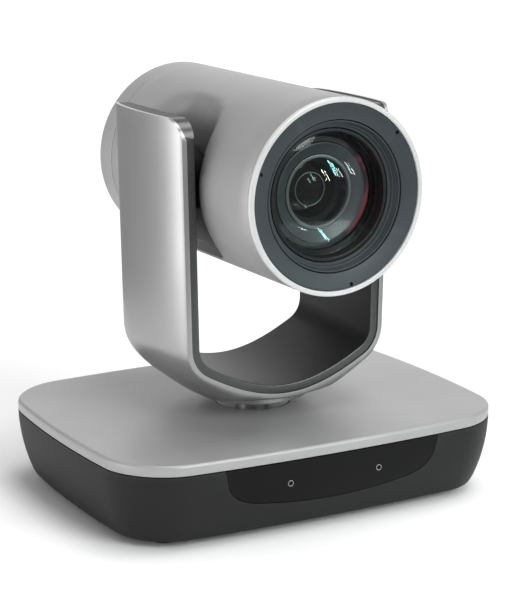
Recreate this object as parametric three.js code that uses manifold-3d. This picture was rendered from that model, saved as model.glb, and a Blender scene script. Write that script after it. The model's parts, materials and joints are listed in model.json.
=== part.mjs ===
// A conference-room pan, tilt and zoom camera: a flat base, a U-shaped yoke that pans on it,
// and a barrel-shaped head that tilts between the yoke's arms.
// Millimetres. +Z is up, the lens faces -Y, and the origin is on the floor below the pan axis.
import * as THREE from "three";
import { mergeVertices } from "three/addons/utils/BufferGeometryUtils.js";
import Module from "manifold-3d";

const wasm = await Module();
wasm.setup();

// ---- Driving dimensions ----
const GAP = 0.3; // between pieces that touch
const BASE_W = 180; // base width, X
const BASE_D = 138; // base depth, Y
const BASE_CORNER = 24; // plan corner radius
const SIDE_BOW = 4.5; // how far each side's ends pull in from its middle
const FOOT_H = 3.3; // the housing's clearance above the floor
const PLATE_TOP = 36.2; // top of the silver plate
const PLATE_T = 4.5;
const BOWL_INSET = 7; // how much smaller the housing's bottom is, each side
const WALL = 2;
const YOKE_DEPTH = 59; // yoke size along Y
const YOKE_LOW = 44.8; // lowest point of the yoke's front rim
const YOKE_TOP = 161.6; // top of the arms
const YOKE_REACH = 37.2; // half width of the rim's shallow bottom curve
const YOKE_LEAN = 1.2; // degrees that each arm leans outwards
const YOKE_RIM = 1.5; // shell thickness
const YOKE_BAND = 5; // whole thickness at the rim
const YOKE_CORNER = 15; // rim radius between the bottom and each arm
const YOKE_ROUND = 45; // how round the rim's bottom is
const YOKE_SLOPE = 0.93; // slope that the bottom curve tends to
const COLLAR_R = 23.5; // the disc under the yoke
const COLLAR_LOW = 40.4; // and its lower face
const ARM_CORNER = 9; // radius of each arm's front top corner
const TILT_Z = 133.3; // tilt axis height
const HEAD_R = 38.5;
const HEAD_FRONT = -68; // Y of the front rim
const HEAD_BACK = 66.8; // Y of the rear face
const WAIST_HALF_W = 26; // the head's half width between the arms
const WAIST_HALF_L = 27; // half length of that waist
const WAIST_HALF_H = 31;
const BEZEL_R = 29.8; // bezel opening
const LENS_R = 26; // front ring of the lens
const LENS_Y = -61.6; // its front
const PAN_MODULE = 1.2;
const PAN_GEAR_TEETH = 40;
const PAN_PINION_TEETH = 10;
const TILT_MODULE = 0.8;
const TILT_GEAR_TEETH = 33;
const TILT_PINION_TEETH = 9;
const IR_X = 20.3; // receivers, either side of the middle
const IR_Z = 22.2;

// ---- Finishes ----
const finish = (color, roughness, metalness) => ({ color, roughness, metalness });
const SILVER = finish(0xb4b4b4, 0.42, 0.55);
const PALE_RIM = finish(0xe2e4e4, 0.35, 0.3);
const CHARCOAL = finish(0x393939, 0.6, 0);
const GUNMETAL = finish(0x4a4a4a, 0.35, 0.5);
const GLOSS_BLACK = finish(0x1c1c1c, 0.12, 0);
const SLATE = finish(0x4e5457, 0.5, 0.1);
const MATT_BLACK = finish(0x141414, 0.7, 0);
const GLASS = finish(0x33433d, 0.05, 0);
const STEEL = finish(0xa8aaac, 0.3, 0.9);
const BRASS = finish(0xb8965a, 0.35, 0.9);
const BOARD = finish(0x1f5a38, 0.55, 0);
const RUBBER = finish(0x222222, 0.9, 0);
const NYLON = finish(0xd8d4c8, 0.5, 0);

const camera = new THREE.Group();
camera.name = "ptz_camera";

// ---- Making solids ----
// A closed geometry becomes a solid whose faces point out.
function solid(geometry) {
  const bare = geometry.index ? geometry.toNonIndexed() : geometry.clone();
  bare.deleteAttribute("normal");
  bare.deleteAttribute("uv");
  const merged = mergeVertices(bare, 1e-4);
  const vertProperties = merged.attributes.position.array;
  const triVerts = new Uint32Array(merged.index.array);
  const made = new wasm.Manifold(new wasm.Mesh({ numProp: 3, vertProperties, triVerts }));
  if (made.volume() > 0) return made;
  for (let i = 0; i < triVerts.length; i += 3) {
    [triVerts[i + 1], triVerts[i + 2]] = [triVerts[i + 2], triVerts[i + 1]];
  }
  return new wasm.Manifold(new wasm.Mesh({ numProp: 3, vertProperties, triVerts }));
}

const join = (first, ...others) => others.reduce((whole, part) => whole.add(part), first);
const cut = (first, ...others) => others.reduce((whole, part) => whole.subtract(part), first);

function add(name, made, look) {
  const raw = made.getMesh();
  const positions = new Float32Array(raw.numVert * 3);
  for (let i = 0; i < raw.numVert; i++) {
    const start = i * raw.numProp;
    positions.set(raw.vertProperties.subarray(start, start + 3), i * 3);
  }
  const geometry = new THREE.BufferGeometry();
  geometry.setAttribute("position", new THREE.BufferAttribute(positions, 3));
  geometry.setIndex(new THREE.BufferAttribute(raw.triVerts, 1));
  geometry.computeVertexNormals();
  const mesh = new THREE.Mesh(geometry, new THREE.MeshStandardMaterial(look));
  mesh.name = name;
  camera.add(mesh);
}

// A box from its low corner to its high corner.
function block(x0, y0, z0, x1, y1, z1) {
  const box = new THREE.BoxGeometry(x1 - x0, y1 - y0, z1 - z0);
  return solid(box.translate((x0 + x1) / 2, (y0 + y1) / 2, (z0 + z1) / 2));
}

// Turned pieces, from [radius, place along the axis] points round the profile.
function turned(profile, sides) {
  const points = profile.map(([radius, along]) => new THREE.Vector2(radius, along));
  if (profile.every(([radius]) => radius > 0)) points.push(points[0].clone());
  return new THREE.LatheGeometry(points, sides);
}
const turnedX = (profile, y, z, sides = 20) =>
  solid(turned(profile, sides).rotateZ(-Math.PI / 2).translate(0, y, z));
const turnedY = (profile, x, z, sides = 20) => solid(turned(profile, sides).translate(x, 0, z));
const turnedZ = (profile, x, y, sides = 20) =>
  solid(turned(profile, sides).rotateX(Math.PI / 2).translate(x, y, 0));

const disc = (r, low, high) => [[0, low], [r, low], [r, high], [0, high]];
const ring = (inner, outer, low, high) => [[inner, low], [outer, low], [outer, high], [inner, high]];

// A flat outline made into a prism, along Z or, with its shape drawn in Y and Z, along X.
const extruded = (shape, depth) =>
  new THREE.ExtrudeGeometry(shape, { depth, bevelEnabled: false, curveSegments: 6 });
const prismZ = (shape, x, y, z0, z1) => solid(extruded(shape, z1 - z0).translate(x, y, z0));
function prismX(shape, x0, x1, y = 0, z = 0) {
  const prism = extruded(shape, x1 - x0).rotateX(Math.PI / 2).rotateZ(Math.PI / 2);
  return solid(prism.translate(x0, y, z));
}

// A rounded rectangle centred on x, y.
function roundedRectangle(x, y, halfW, halfH, radius) {
  const shape = new THREE.Shape();
  shape.absarc(x + halfW - radius, y + halfH - radius, radius, 0, Math.PI / 2);
  shape.absarc(x - halfW + radius, y + halfH - radius, radius, Math.PI / 2, Math.PI);
  shape.absarc(x - halfW + radius, y - halfH + radius, radius, Math.PI, Math.PI * 1.5);
  shape.absarc(x + halfW - radius, y - halfH + radius, radius, Math.PI * 1.5, Math.PI * 2);
  return shape;
}

// A closed solid through rings of equal count; outline is one ring drawn flat, for the ends.
function lofted(rings, outline) {
  const count = rings[0].length;
  const last = rings.length - 1;
  const positions = [];
  for (let k = 0; k < last; k++) {
    for (let i = 0; i < count; i++) {
      const j = (i + 1) % count;
      positions.push(...rings[k][i], ...rings[k][j], ...rings[k + 1][j]);
      positions.push(...rings[k][i], ...rings[k + 1][j], ...rings[k + 1][i]);
    }
  }
  const clockwise = THREE.ShapeUtils.isClockWise(outline);
  for (const face of THREE.ShapeUtils.triangulateShape([...outline], [])) {
    const [a, b, c] = clockwise ? [...face].reverse() : face;
    positions.push(...rings[0][c], ...rings[0][b], ...rings[0][a]);
    positions.push(...rings[last][a], ...rings[last][b], ...rings[last][c]);
  }
  const geometry = new THREE.BufferGeometry();
  return solid(geometry.setAttribute("position", new THREE.Float32BufferAttribute(positions, 3)));
}

// A spur gear's flat outline with straight-sided teeth, and a round hole.
function gearShape(teeth, module, hole, turn) {
  const pitch = (teeth * module) / 2;
  const tip = pitch + module * 0.75;
  const root = pitch - module;
  const step = (2 * Math.PI) / teeth;
  const corners = [[root, -0.3], [tip, -0.13], [tip, 0.13], [root, 0.3]];
  const shape = new THREE.Shape();
  for (let i = 0; i < teeth; i++) {
    corners.forEach(([radius, share], k) => {
      const angle = turn + (i + share) * step;
      const draw = i + k === 0 ? "moveTo" : "lineTo";
      shape[draw](radius * Math.cos(angle), radius * Math.sin(angle));
    });
  }
  shape.holes.push(new THREE.Path().absarc(0, 0, hole, 0, 2 * Math.PI, true));
  return shape;
}

// ---- Base ----
const PLATE_LOW = PLATE_TOP - PLATE_T;
const HOUSING_TOP = PLATE_LOW - GAP;
const FLOOR = FOOT_H + WALL;

// The base's plan outline, drawn in by inset: a rounded rectangle whose sides bow outwards.
function baseOutline(inset) {
  const halfW = BASE_W / 2 - inset;
  const halfD = BASE_D / 2 - inset;
  const outline = roundedRectangle(0, 0, halfW, halfD, BASE_CORNER - inset * 0.6);
  const corners = outline.getPoints(3);
  const points = [];
  corners.forEach((point, i) => {
    const next = corners[(i + 1) % corners.length];
    const parts = Math.ceil(point.distanceTo(next) / 19);
    for (let k = 0; k < parts; k++) points.push(point.clone().lerp(next, k / parts));
  });
  return points.map(({ x, y }) => {
    const pullX = 1 - (SIDE_BOW / (BASE_W / 2)) * (y / (BASE_D / 2)) ** 2;
    const pullY = 1 - (SIDE_BOW / (BASE_D / 2)) * (x / (BASE_W / 2)) ** 2;
    return new THREE.Vector2(x * pullX, y * pullY);
  });
}

// A stack of base outlines from [inset, height] pairs. Every outline has the same point count.
function baseStack(levels) {
  const rings = levels.map(([inset, z]) => baseOutline(inset).map((p) => [p.x, p.y, z]));
  return lofted(rings, baseOutline(levels[0][0]));
}

// The housing's side: curving out from the smaller bottom to stand upright below the plate.
function bowlLevels(extra, low, high, steps) {
  const levels = [];
  for (let i = 0; i <= steps; i++) {
    const angle = (Math.PI / 2) * (i / steps);
    const inset = BOWL_INSET * (1 - Math.sin(angle) ** 1.63);
    levels.push([inset + extra, low + (high - low) * (1 - Math.cos(angle) ** 1.14)]);
  }
  return levels;
}

const bowl = baseStack(bowlLevels(0, FOOT_H, HOUSING_TOP, 7));
const bowlInside = baseStack(bowlLevels(WALL, FLOOR, HOUSING_TOP + 1, 3));

// The front window's outline: flat on top, with large soft lower corners and a shallow arc below.
function windowPrism(shrink, depth) {
  const halfW = 49 - shrink;
  const sideLow = 26; // where each side passes into its corner
  const cornerLow = 15.6 + shrink; // and where the corner passes into the arc
  const arcPull = 10 + shrink;
  const top = HOUSING_TOP + 1;
  const shape = new THREE.Shape();
  shape.moveTo(-halfW, top);
  shape.lineTo(-halfW + 1.4, sideLow);
  shape.quadraticCurveTo(-halfW + 3, cornerLow + 2, -halfW + 15, cornerLow);
  shape.quadraticCurveTo(0, arcPull, halfW - 15, cornerLow);
  shape.quadraticCurveTo(halfW - 3, cornerLow + 2, halfW - 1.4, sideLow);
  shape.lineTo(halfW, top);
  const prism = extruded(shape, depth).rotateX(Math.PI / 2);
  return solid(prism.translate(0, depth - BASE_D / 2 - 1, 0));
}

const REAR_HALF_W = 62;
const REAR_Y = 60;
const [REAR_LOW, REAR_HIGH] = [7, 29];
const PLATE_INSET = BOWL_INSET + 4; // the bottom plate's edge

function addBaseShells() {
  const bottomOpening = baseStack([[PLATE_INSET, FOOT_H - 1], [PLATE_INSET, FLOOR + 1]]);
  const rearOpening = block(-REAR_HALF_W, REAR_Y - 2, REAR_LOW, REAR_HALF_W, 80, REAR_HIGH);
  const housing = cut(bowl, bowlInside, bottomOpening, windowPrism(0, 20), rearOpening);
  add("base_housing", housing, CHARCOAL);

  const edge = 0.5;
  const plate = baseStack([[0, PLATE_LOW], [0, PLATE_TOP - edge], [edge, PLATE_TOP]]);
  add("base_top_plate", cut(plate, turnedZ(disc(16, 0, 50), 0, 0)), SILVER);

  const panel = cut(bowl.intersect(windowPrism(GAP, 20)), bowlInside);
  const trimmed = cut(panel, block(-60, -80, HOUSING_TOP - GAP, 60, -40, 40));
  const holes = [-IR_X, IR_X].map((x) => turnedY(disc(1.3, -80, -50), x, IR_Z, 20));
  add("ir_window", cut(trimmed, ...holes), GLOSS_BLACK);
}

const FEET = [[-64, -45], [64, -45], [64, 45], [-64, 45]];
const FOOT_R = 7;

function addUnderside() {
  const edge = PLATE_INSET + GAP;
  const sheet = baseStack([[edge, FOOT_H], [edge, FOOT_H + 1.6]]);
  add("base_bottom_plate", cut(sheet, turnedZ(disc(4.8, 0, 20), 0, -24)), STEEL);
  add("tripod_insert", turnedZ(ring(3.1, 4.5, FOOT_H, FOOT_H + 8), 0, -24, 16), BRASS);
  const names = ["front_left", "front_right", "rear_right", "rear_left"];
  FEET.forEach(([x, y], i) => {
    const top = FOOT_H - GAP;
    const profile = [[0, 0], [FOOT_R - 1, 0], [FOOT_R, 1], [FOOT_R, top], [0, top]];
    add("foot_" + names[i], turnedZ(profile, x, y, 18), RUBBER);
  });
}

const BOARD_Z = 9;
const BOARD_T = 1.6;
const PAN_PINION_Y = (PAN_MODULE * (PAN_GEAR_TEETH + PAN_PINION_TEETH)) / 2;

function addElectronics() {
  const top = BOARD_Z + BOARD_T;
  const board = block(-66, -50, BOARD_Z, 66, 57, top);
  const motorBay = block(-20, PAN_PINION_Y - 20, 0, 20, PAN_PINION_Y + 20, 20);
  const insertBay = turnedZ(disc(6.5, 0, 20), 0, -24, 24);
  add("main_board", cut(board, motorBay, insertBay), BOARD);

  const foot = top + GAP;
  const fins = [];
  for (let x = -52; x <= -28; x += 6) fins.push(block(x, -20, foot + 1.5, x + 1.6, 8, foot + 8));
  add("heat_sink", join(block(-52, -20, foot, -26.4, 8, foot + 2), ...fins), GUNMETAL);

  // The rear sockets stand on the board and open through the panel: name, middle, half width,
  // height, opening half width, opening low and high edges.
  const sockets = [
    ["lan_socket", -12, 8, 13.4, 5.9, 2.4, 10.4],
    ["hdmi_socket", 8, 7.6, 6, 7, 0.7, 5.3],
    ["usb_socket", 28, 6.8, 6.8, 6, 0.9, 5.9],
  ];
  const panelOpenings = [];
  for (const [name, x, halfW, height, holeW, holeLow, holeHigh] of sockets) {
    const body = block(x - halfW, 48, foot, x + halfW, REAR_Y + 0.9, foot + height);
    const hole = block(x - holeW, 50, foot + holeLow, x + holeW, 80, foot + holeHigh);
    add(name, cut(body, hole), STEEL);
    const margin = GAP + 0.1;
    const low = foot - margin;
    const high = foot + height + margin;
    panelOpenings.push(block(x - halfW - margin, 50, low, x + halfW + margin, 80, high));
  }
  // Round sockets: name, middle, outer radius, bore radius, look.
  const jacks = [
    ["dc_jack", -48, 5.4, 3.2, MATT_BLACK],
    ["rs232_socket", -32, 6, 4.4, MATT_BLACK],
    ["audio_jack", 46, 4, 2.2, BRASS],
  ];
  for (const [name, x, outer, bore, look] of jacks) {
    const z = foot + outer;
    const profile = [[0, 46], [outer, 46], [outer, REAR_Y + 0.9], [bore, REAR_Y + 0.9], [bore, 50], [0, 50]];
    add(name, turnedY(profile, x, z, 18), look);
    panelOpenings.push(turnedY(disc(outer + GAP + 0.1, 40, 80), x, z, 24));
  }
  const half = REAR_HALF_W - GAP;
  const [low, high] = [REAR_LOW + GAP, REAR_HIGH - GAP];
  const tray = bowl.intersect(block(-half, REAR_Y, low, half, 80, high));
  const inside = block(-half + 1.5, REAR_Y + 1.5, low + 1.5, half - 1.5, 80, high - 1.5);
  const boardSlot = block(-66.4, 50, BOARD_Z - GAP, 66.4, REAR_Y - 1, top + GAP);
  add("io_panel", cut(tray, inside, boardSlot, ...panelOpenings), GUNMETAL);

  add("ir_board", block(-40, -60, 15.5, 40, -58.4, 29), BOARD);
  for (const [side, x] of [["left", -IR_X], ["right", IR_X]]) {
    add("ir_receiver_" + side, turnedY(disc(1, -67.2, -60.3), x, IR_Z, 20), MATT_BLACK);
  }
}

const GEAR_LOW = 24;
const GEAR_HIGH = 28;
const SHAFT_R = 7;

function addPanDrive() {
  add("pan_bearing", turnedZ(ring(SHAFT_R + GAP, 15.7, PLATE_LOW + 0.2, PLATE_TOP - 0.2), 0, 0), STEEL);
  const retainer = turnedZ(ring(12, 21, PLATE_LOW - 1.8, PLATE_LOW - GAP), 0, 0);
  add("bearing_retainer", retainer, STEEL);
  const y = PAN_PINION_Y;
  const body = turnedZ(disc(17.4, FLOOR + GAP, 21), 0, y, 24);
  const boss = turnedZ(disc(3, 20.5, 22.6), 0, y, 24);
  add("pan_motor", join(body, boss), STEEL);
  const flange = block(-26, y - 8, 21.3, 26, y + 8, 22.6);
  const legs = [-26, 24.7].map((x) => block(x, y - 8, BOARD_Z + 2, x + 1.3, y + 8, 22.6));
  const hole = turnedZ(disc(3.4, 10, 30), 0, y, 24);
  add("pan_motor_bracket", cut(join(flange, ...legs), hole), STEEL);
  const halfTooth = Math.PI / PAN_PINION_TEETH;
  const pinion = gearShape(PAN_PINION_TEETH, PAN_MODULE, 1.5, -Math.PI / 2 + halfTooth);
  add("pan_pinion", prismZ(pinion, 0, y, GEAR_LOW - 1, GEAR_HIGH), BRASS);
}

// ---- Yoke ----
const YOKE_HALF_D = YOKE_DEPTH / 2;
const ARM_BULGE = 4.4; // how far the outer face stands out at mid depth
const FOOT_BULGE = 3.6; // and how much more on each side of the pan axis
const FOOT_LOW = 41.3; // where the underside is flat, round the pan axis

// The rim seen along Y: a shallow rounded V, two corners and two leaning arms.
// Each station has its place, the angle of its tangent and its distance from the middle.
function yokePath(top) {
  const upright = THREE.MathUtils.degToRad(90 - YOKE_LEAN);
  const half = [];
  for (let i = 0; i <= 8; i++) {
    const x = (YOKE_REACH * i) / 8;
    const root = Math.hypot(YOKE_ROUND, YOKE_SLOPE * x);
    const angle = Math.atan((YOKE_SLOPE * YOKE_SLOPE * x) / root);
    half.push({ x, z: YOKE_LOW + root - YOKE_ROUND, angle });
  }
  const from = half[half.length - 1];
  for (let i = 1; i <= 6; i++) {
    const angle = from.angle + ((upright - from.angle) * i) / 6;
    const x = from.x + YOKE_CORNER * (Math.sin(angle) - Math.sin(from.angle));
    const z = from.z + YOKE_CORNER * (Math.cos(from.angle) - Math.cos(angle));
    half.push({ x, z, angle });
  }
  const start = half[half.length - 1];
  for (let i = 1; i <= 3; i++) {
    const rise = ((top - start.z) * i) / 3;
    half.push({ x: start.x + rise / Math.tan(upright), z: start.z + rise, angle: upright });
  }
  let distance = 0;
  half.forEach((station, i) => {
    if (i) distance += Math.hypot(station.x - half[i - 1].x, station.z - half[i - 1].z);
    station.distance = distance;
  });
  const other = half.slice(1).reverse();
  return [...other.map((s) => ({ ...s, x: -s.x, angle: -s.angle })), ...half];
}

function bulge(distance) {
  const rise = Math.hypot(YOKE_ROUND, YOKE_SLOPE * distance) - YOKE_ROUND;
  const round = ARM_BULGE + FOOT_BULGE * Math.exp(-(((distance - 22) / 16) ** 2));
  return Math.min(round, YOKE_LOW - FOOT_LOW + 1.08 * rise);
}


// Sweeps a section along the rim. Offsets are outwards from the rim's outer line: outer and
// inner are functions of [lens, distance], lens falling from 1 at mid depth to 0 at the edges.
function sweepYoke(outer, inner, halfD, innerHalfD, top, innerSamples = 1) {
  const samples = 8;
  const sectionAt = ({ distance }) => {
    const section = [];
    for (let i = 0; i <= samples; i++) {
      const turn = (Math.PI * i) / samples;
      const [y, lens] = [-halfD * Math.cos(turn), Math.sin(turn)];
      section.push(new THREE.Vector2(outer(lens, distance), y));
    }
    for (let i = innerSamples; i >= 0; i--) {
      const turn = (Math.PI * i) / innerSamples;
      const [y, lens] = [-innerHalfD * Math.cos(turn), Math.sin(turn)];
      section.push(new THREE.Vector2(inner(lens, distance), y));
    }
    return section;
  };
  const path = yokePath(top);
  const rings = path.map((station) => {
    const [sin, cos] = [Math.sin(station.angle), Math.cos(station.angle)];
    return sectionAt(station).map(({ x, y }) => [station.x + x * sin, y, station.z - x * cos]);
  });
  return lofted(rings, sectionAt(path[0]));
}

// Trims the arms' tops: rounded at the front, square at the back.
function armProfile(inset) {
  const front = -YOKE_HALF_D + inset;
  const top = YOKE_TOP - inset;
  const radius = ARM_CORNER - inset;
  const shape = new THREE.Shape();
  shape.moveTo(front - 5, 20);
  shape.lineTo(YOKE_HALF_D + 5, 20);
  shape.lineTo(YOKE_HALF_D + 5, top);
  shape.absarc(front + radius, top - radius, radius, Math.PI / 2, Math.PI);
  shape.lineTo(front - 5, top - radius);
  return prismX(shape, -70, 70);
}

const POD_R = 25;
const POD_IN = WAIST_HALF_W + 0.6;
const POD_OUT = 39.7;
const TILT_SHAFT_R = 4.5;
const BEARING_R = 8;
const TILT_PINION_Y = (TILT_MODULE * (TILT_GEAR_TEETH + TILT_PINION_TEETH)) / 2;
const TILT_GEAR_IN = 35.2;
const TILT_GEAR_OUT = 38.6;

function addYoke() {
  const tall = YOKE_TOP + 3;
  const outside = (lens, s) => bulge(s) * lens;
  const shell = sweepYoke(
    outside,
    (lens, s) => bulge(s) * lens - YOKE_RIM,
    YOKE_HALF_D,
    YOKE_HALF_D,
    tall,
    8,
  );
  const shaftHole = turnedZ(disc(SHAFT_R + GAP, 20, 47), 0, 0);
  const dimple = turnedZ(disc(1.4, 38, 43.2), -21, -16, 16);
  add("yoke_shell", cut(shell.intersect(armProfile(0)), shaftHole, dimple), SILVER);

  const filled = sweepYoke(
    (lens, s) => bulge(s) * lens - YOKE_RIM - GAP,
    () => -YOKE_BAND,
    YOKE_HALF_D - 0.5,
    YOKE_HALF_D - 1.8,
    tall,
  );
  const wall = 2;
  const hollow = sweepYoke(
    () => 12,
    () => wall - YOKE_BAND,
    YOKE_HALF_D - 3.5,
    YOKE_HALF_D - 3.5,
    YOKE_TOP - 3,
  );
  const frame = cut(filled.intersect(armProfile(0.4)), hollow);
  add("yoke_frame", frame, GUNMETAL);

  const around = sweepYoke((lens, s) => bulge(s) * lens + GAP, () => -8, YOKE_HALF_D, YOKE_HALF_D, tall);
  const collar = turnedZ(ring(SHAFT_R + GAP, COLLAR_R, COLLAR_LOW, 46), 0, 0, 48);
  add("pan_collar", cut(collar, around), SILVER);

  const shaft = turnedZ(
    [
      [4.6, 21], [SHAFT_R, 21], [SHAFT_R, 44.8], [14, 44.8], [14, 47], [4.6, 47],
    ],
    0,
    0,
  );
  add("pan_shaft", shaft, STEEL);
  const gear = gearShape(PAN_GEAR_TEETH, PAN_MODULE, SHAFT_R + GAP, Math.PI / 2);
  add("pan_gear", prismZ(gear, 0, 0, GEAR_LOW, GEAR_HIGH), NYLON);
}

// A profile given for the right side, mirrored where side is -1.
const onSide = (profile, side) => profile.map(([radius, x]) => [radius, x * side]);

function addTiltDrive() {
  const bore = TILT_SHAFT_R + GAP;
  const seat = BEARING_R + GAP;
  // The left pod only holds a bearing. The right one is wider, round the motor and the gears.
  const pods = {
    left: [
      [bore, POD_IN], [12, POD_IN], [13, POD_IN + 1], [13, POD_OUT - 3], [18, POD_OUT - 2],
      [18, POD_OUT], [seat, POD_OUT], [seat, POD_IN + 2], [bore, POD_IN + 2],
    ],
    right: [
      [bore, POD_IN], [POD_R - 1, POD_IN], [POD_R, POD_IN + 1], [POD_R, POD_OUT],
      [POD_R - 2, POD_OUT], [POD_R - 2, POD_IN + 2], [9.8, POD_IN + 2], [9.8, 34.6],
      [seat, 34.6], [seat, POD_IN + 2], [bore, POD_IN + 2],
    ],
  };
  for (const [name, side] of [["left", -1], ["right", 1]]) {
    const pod = turnedX(onSide(pods[name], side), 0, TILT_Z, 28);
    add("arm_pod_" + name, pod, MATT_BLACK);
    const race = ring(TILT_SHAFT_R + 0.1, BEARING_R, POD_IN + 2.3, 34.4);
    add("tilt_bearing_" + name, turnedX(onSide(race, side), 0, TILT_Z), STEEL);
    const pin = disc(TILT_SHAFT_R, 23.2, POD_OUT - 0.5);
    add("trunnion_" + name, turnedX(onSide(pin, side), 0, TILT_Z), STEEL);
  }
  add("tilt_motor", turnedX(disc(6, POD_IN + 2.3, 34.6), TILT_PINION_Y, TILT_Z, 28), STEEL);
  const gear = gearShape(TILT_GEAR_TEETH, TILT_MODULE, TILT_SHAFT_R + GAP, 0);
  add("tilt_gear", prismX(gear, TILT_GEAR_IN, TILT_GEAR_OUT, 0, TILT_Z), NYLON);
  const halfTooth = Math.PI / TILT_PINION_TEETH;
  const pinion = gearShape(TILT_PINION_TEETH, TILT_MODULE, 1, Math.PI + halfTooth);
  const made = prismX(pinion, TILT_GEAR_IN, TILT_GEAR_OUT, TILT_PINION_Y, TILT_Z);
  add("tilt_pinion", made, BRASS);
}

// ---- Head ----
const SHELL_T = 2.2;
const RIM_T = 1.9;
const RIM_W = 2;
const CAP_T = 12;

function waistPockets(grow) {
  const shape = roundedRectangle(
    0,
    TILT_Z,
    WAIST_HALF_L + grow,
    WAIST_HALF_H + grow,
    12 + grow,
  );
  const near = WAIST_HALF_W - grow;
  return join(prismX(shape, near, 60), prismX(shape, -60, -near));
}

function addHeadShells() {
  const front = HEAD_FRONT + RIM_T + GAP;
  const back = HEAD_BACK - CAP_T - GAP;
  const outer = turnedY(disc(HEAD_R, front, back), 0, TILT_Z, 48);
  const inner = turnedY(disc(HEAD_R - SHELL_T, front - 1, back + 1), 0, TILT_Z, 48);
  const pinHole = turnedX(disc(TILT_SHAFT_R + GAP, -60, 60), 0, TILT_Z, 28);
  const shell = cut(outer, cut(inner, waistPockets(WALL)), waistPockets(0), pinHole);
  add("head_shell", shell, SILVER);

  const low = HEAD_BACK - CAP_T;
  const inside = HEAD_R - SHELL_T;
  const cap = turnedY(
    [
      [0, HEAD_BACK], [HEAD_R - 2, HEAD_BACK], [HEAD_R - 1, HEAD_BACK - 1], [HEAD_R, low],
      [inside, low], [inside, HEAD_BACK - 2], [0, HEAD_BACK - 2],
    ],
    0,
    TILT_Z,
    48,
  );
  add("head_rear_cap", cap, SILVER);

  const rim = ring(HEAD_R - RIM_W, HEAD_R, HEAD_FRONT, HEAD_FRONT + RIM_T);
  add("front_rim", turnedY(rim, 0, TILT_Z, 48), PALE_RIM);

  const bezelOut = HEAD_R - RIM_W - GAP;
  const bezel = turnedY(
    [
      [BEZEL_R, HEAD_FRONT + 2], [bezelOut, HEAD_FRONT + 0.6], [bezelOut, HEAD_FRONT + 3.4],
      [BEZEL_R, HEAD_FRONT + 3.4],
    ],
    0,
    TILT_Z,
    48,
  );
  const notches = [41, 161, 281].map((degrees) => {
    const angle = THREE.MathUtils.degToRad(degrees);
    const x = bezelOut * Math.cos(angle);
    return turnedY(disc(0.8, HEAD_FRONT, HEAD_FRONT + 2), x, TILT_Z + bezelOut * Math.sin(angle), 12);
  });
  add("front_bezel", cut(bezel, ...notches), SLATE);
}

const TUBE_BACK = -51.6;

function addLens() {
  const hoodOut = BEZEL_R - GAP;
  const hood = [
    [LENS_R + GAP, LENS_Y], [hoodOut - 0.6, HEAD_FRONT + 2.4], [hoodOut, HEAD_FRONT + 2.4],
    [hoodOut, TUBE_BACK], [LENS_R + GAP, TUBE_BACK],
  ];
  add("lens_hood", turnedY(hood, 0, TILT_Z, 30), MATT_BLACK);

  const glassR = LENS_R - 1.6;
  const seat = glassR - 1.8;
  const retainer = [
    [glassR + 0.2, LENS_Y], [LENS_R, LENS_Y], [LENS_R, TUBE_BACK - GAP], [seat, TUBE_BACK - GAP],
    [seat, -54.6], [glassR + 0.2, -54.6],
  ];
  add("lens_front_ring", turnedY(retainer, 0, TILT_Z, 30), GUNMETAL);

  // A meniscus: both faces are arcs that bulge towards the front.
  const faces = [];
  for (let i = 0; i <= 3; i++) {
    const r = (glassR * i) / 3;
    faces.push([r, -60.6 + 3.4 * (r / glassR) ** 2]);
  }
  for (let i = 3; i >= 0; i--) {
    const r = (glassR * i) / 3;
    faces.push([r, -57.4 + 2.4 * (r / glassR) ** 2]);
  }
  add("front_lens", turnedY(faces, 0, TILT_Z, 28), GLASS);
  add("baffle_ring", turnedY(ring(15, seat - GAP, -54.6, -52.6), 0, TILT_Z, 24), MATT_BLACK);
}

const BORE_R = 17;
const BLOCK_BACK = 18;
const ROD_X = 15;

// A lens carrier: a ring with two ears that slide on the guide rods, and its glass.
function addCarrier(name, y, outer, glassR) {
  const body = turnedY(ring(glassR + GAP, outer, y - 3, y + 3), 0, TILT_Z, 24);
  const ears = block(-BORE_R + 0.8, y - 3, TILT_Z - 2.4, BORE_R - 0.8, y + 3, TILT_Z + 2.4);
  const clear = turnedY(disc(glassR + GAP, y - 9, y + 9), 0, TILT_Z, 24);
  const slots = [-ROD_X, ROD_X].map((x) => turnedY(disc(1.15, y - 9, y + 9), x, TILT_Z, 12));
  add(name + "_carrier", cut(join(body, ears), clear, ...slots), MATT_BLACK);
  const lens = [[0, y - 2.4], [glassR, y - 1], [glassR, y + 1], [0, y + 2.4]];
  add(name + "_lens", turnedY(lens, 0, TILT_Z, 28), GLASS);
}

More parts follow.
